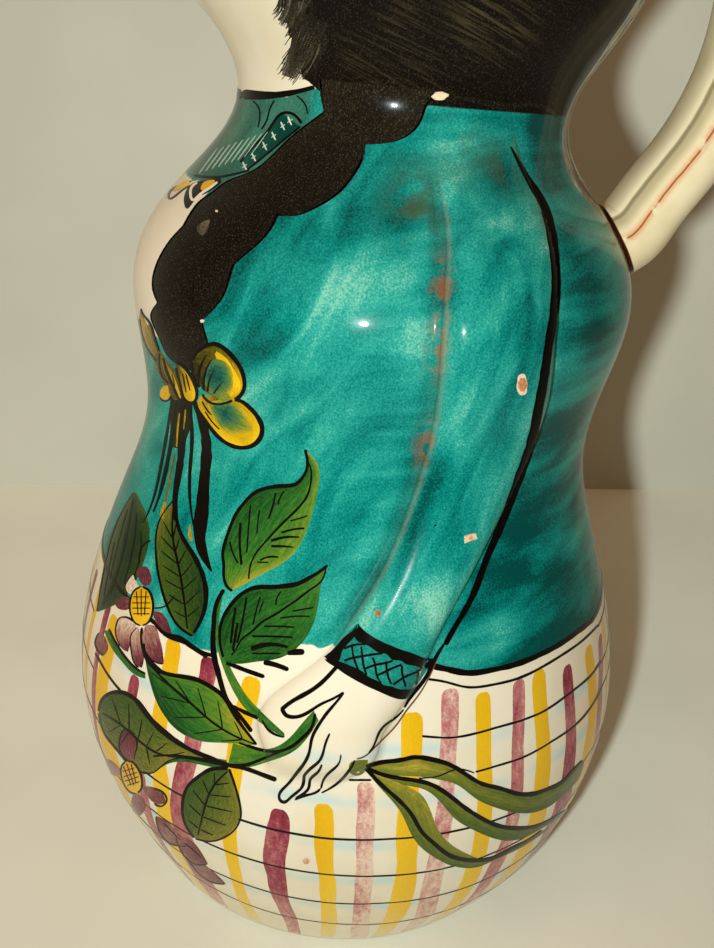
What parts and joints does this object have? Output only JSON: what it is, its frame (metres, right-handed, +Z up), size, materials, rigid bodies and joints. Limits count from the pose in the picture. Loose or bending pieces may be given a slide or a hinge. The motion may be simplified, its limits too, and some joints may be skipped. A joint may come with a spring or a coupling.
{
  "type": "figural pitcher",
  "caption": "Glazed earthenware jug in the form of a standing woman, hollow, with an open spouted mouth at the head and a strap handle at the back.",
  "frame": {"origin": "centre of the flat underside, on the axis of the turned body", "axes": "+Z up along the body's axis, the figure faces -Y, the handle is on +Y, the figure's left hand is on +X"},
  "size_m": [0.1552, 0.1631, 0.3],
  "materials": {
    "glazed_earthenware": "glossy tin-glazed earthenware, ivory ground hand painted in teal, black, yellow, maroon and green"
  },
  "bodies": {
    "root": {"pitcher": "glazed_earthenware"}
  },
  "joints": []
}
